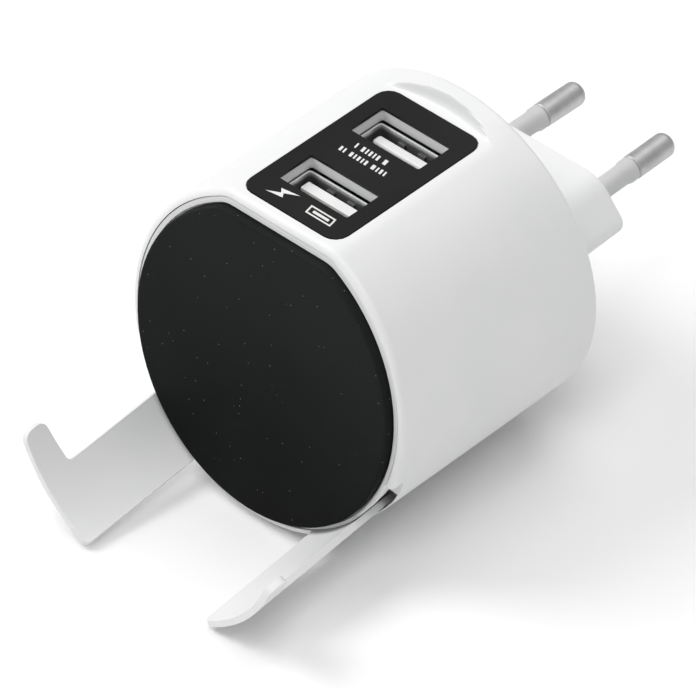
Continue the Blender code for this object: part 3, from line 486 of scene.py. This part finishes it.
for place in ("front", "rear"):
    steel.on(f"usb_shell_{place}")
    gilt.on(*[f"usb_{place}_contact_{number}" for number in range(1, 5)])
    nylon.on(f"usb_tongue_{place}")
    soften(f"usb_tongue_{place}", NYLON_ROUND, 4)

    shell_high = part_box(f"usb_shell_{place}")[1]
    inner_back = shell_high.y - STEEL_SHEET
    for hand, middle in (("left", -SPRING_PLACE), ("right", SPRING_PLACE)):
        shares = [step / SPRING_STEPS for step in range(SPRING_STEPS + 1)]
        bm = bmesh.new()
        add_solid(bm, [spring_ring(middle, inner_back, shell_high.z, share) for share in shares])
        dressed(f"usb_spring_{place}_{hand}", bm, steel)


# Arms: two curved white plates that slide in lanes in the shell's wall, each with an upturned hook
# for the phone's edge. The same ABS as the shell; the dark channels close the lanes off inside.
ARM_EDGE = 0.28 * MM
DARK_TONES = ((0.03, 0.03, 0.032), (0.038, 0.038, 0.04))
DARK_DEPTH = 0.01 * MM

for hand in ("left", "right"):
    abs_moulding.on(f"arm_{hand}")
    soften(f"arm_{hand}", ARM_EDGE, 3)
dark_plastic = moulded("dark_plastic", DARK_TONES, roughness=0.55, grain=2400.0, depth=DARK_DEPTH)
dark_plastic.on("arm_channel_left", "arm_channel_right")


# Plug pins: nickel-plated brass, turned with a softly rounded tip. A grey nylon sleeve insulates
# the half next to the plug's face. Both pins are set in a white carrier, and a tinned wire runs
# from each to the board.
NICKEL_TONES = ((0.60, 0.60, 0.60), (0.52, 0.52, 0.52))
NICKEL_HANDLED = (0.35, 0.7)
SLEEVE_TONES = ((0.56, 0.56, 0.565), (0.52, 0.52, 0.525))
WIRE_TONES = ((0.75, 0.42, 0.25), (0.66, 0.6, 0.56))

nickel = Finish("nickel_plate", Metallic=1.0)
turning = nickel.streaks(500.0, 7000.0, 500.0)
handled = nickel.noise(320.0, detail=3.0)
nickel.colour(handled.ramp(*NICKEL_HANDLED).between(*NICKEL_TONES))
nickel.roughness(handled.around(turning.around(0.54, 0.14), 0.12))
nickel.relief(turning, 0.004 * MM)
nickel.on("pin_left", "pin_right")
sleeve = moulded("sleeve_nylon", SLEEVE_TONES, roughness=0.48, grain=2800.0, depth=0.005 * MM)
sleeve.on("pin_sleeve_left", "pin_sleeve_right")
abs_moulding.on("pin_carrier")
wire = Finish("tinned_wire", Metallic=1.0)
tinning = wire.noise(900.0, detail=3.0)
wire.colour(tinning.ramp(*MIDDLE_OF_NOISE).between(*WIRE_TONES))
wire.roughness(tinning.around(0.38, 0.2))
wire.relief(tinning, 0.01 * MM)
wire.on("pin_lead_left", "pin_lead_right")


# Electronics: a port board under the sockets and the mains board below it, with the transformer,
# the capacitors and the other parts of a switching supply. All of it is closed in by the shell.
BOARD_TONES = ((0.03, 0.16, 0.07), (0.05, 0.23, 0.1))
WEAVE_RANGE = (0.15, 0.4)
FERRITE_TONES = ((0.07, 0.07, 0.075), (0.05, 0.05, 0.052))
TAPE_TONES = ((0.8, 0.62, 0.08), (0.74, 0.55, 0.06))
COATING_TONES = ((0.05, 0.18, 0.5), (0.04, 0.15, 0.44))
SLEEVING_TONES = ((0.03, 0.035, 0.05), (0.036, 0.04, 0.06))

board = Finish("solder_mask")
weave = board.streaks(2200.0, 300.0, 300.0)
cross_weave = board.streaks(300.0, 2200.0, 300.0)
board.colour((weave * cross_weave).ramp(*WEAVE_RANGE).between(*BOARD_TONES))
board.roughness(weave.around(0.42, 0.1))
board.relief(weave + cross_weave, 0.02 * MM)
board.on("port_board", "main_board")
ferrite = moulded(
    "ferrite",
    FERRITE_TONES,
    roughness=0.68,
    grain=1500.0,
    depth=0.03 * MM,
    mottle=400.0,
    spread=0.12,
)
ferrite.on("transformer_core", "filter_choke")
tape = moulded("polyester_tape", TAPE_TONES, roughness=0.4, grain=900.0, depth=0.02 * MM)
tape.on("transformer_winding")
coating = moulded("dipped_coating", COATING_TONES, roughness=0.35, grain=700.0, depth=0.03 * MM)
coating.on("safety_capacitor", "fuse_resistor")
sleeving = moulded(
    "printed_sleeving", SLEEVING_TONES, roughness=0.32, grain=1200.0, depth=0.01 * MM
)
sleeving.on("output_capacitor_1", "output_capacitor_2", "input_capacitor_1", "input_capacitor_2")
dark_plastic.on("board_header", "charge_controller", "switching_controller")
dark_plastic.on("output_rectifier", "optocoupler", "bridge_rectifier")


# Floor and light: a flat pale floor. The key is a softbox at the upper left, with weaker ones
# overhead and on the camera's side, and a pale surround fills the shadows.
FLOOR_Z = cad_box[0].z
FLOOR_HALF = 3.0
FLOOR_TONES = ((0.93, 0.93, 0.93), (0.95, 0.95, 0.95))
SURROUND_WHITE = (1.0, 1.0, 1.0, 1.0)
SURROUND_STRENGTH = 0.36
LIT_POINT = Vector((0.0, -0.03, 0.0))

floor_mesh = bpy.data.meshes.new("floor")
floor_mesh.from_pydata(
    [(x * FLOOR_HALF, y * FLOOR_HALF, FLOOR_Z) for x, y in ((-1, -1), (1, -1), (1, 1), (-1, 1))],
    [],
    [(0, 1, 2, 3)],
)
floor = bpy.data.objects.new("floor", floor_mesh)
bpy.context.scene.collection.objects.link(floor)
floor_paint = Finish("floor_paint", Roughness=0.9)
floor_paint.colour(floor_paint.noise(3.0).between(*FLOOR_TONES))
floor_mesh.materials.append(floor_paint.material)

world = bpy.data.worlds.new("surround")
world.use_nodes = True
background = world.node_tree.nodes["Background"]
background.inputs["Color"].default_value = SURROUND_WHITE
background.inputs["Strength"].default_value = SURROUND_STRENGTH
bpy.context.scene.world = world
bpy.context.scene.view_settings.view_transform = "Standard"


def softbox(name, place, size, power):
    """A round lamp that faces the object."""
    light = bpy.data.lights.new(name, "AREA")
    light.shape = "DISK"
    light.size = size
    light.energy = power
    lamp = bpy.data.objects.new(name, light)
    lamp.location = place
    away = Vector(place) - LIT_POINT
    lamp.rotation_euler = away.to_track_quat("Z", "Y").to_euler()
    bpy.context.scene.collection.objects.link(lamp)


softbox("key_light", place=(-0.8, -0.45, 0.95), size=0.8, power=9.0)
softbox("top_light", place=(-0.1, 0.35, 1.2), size=0.9, power=4.6)
softbox("front_light", place=(0.42, -0.5, 1.1), size=0.7, power=4.5)
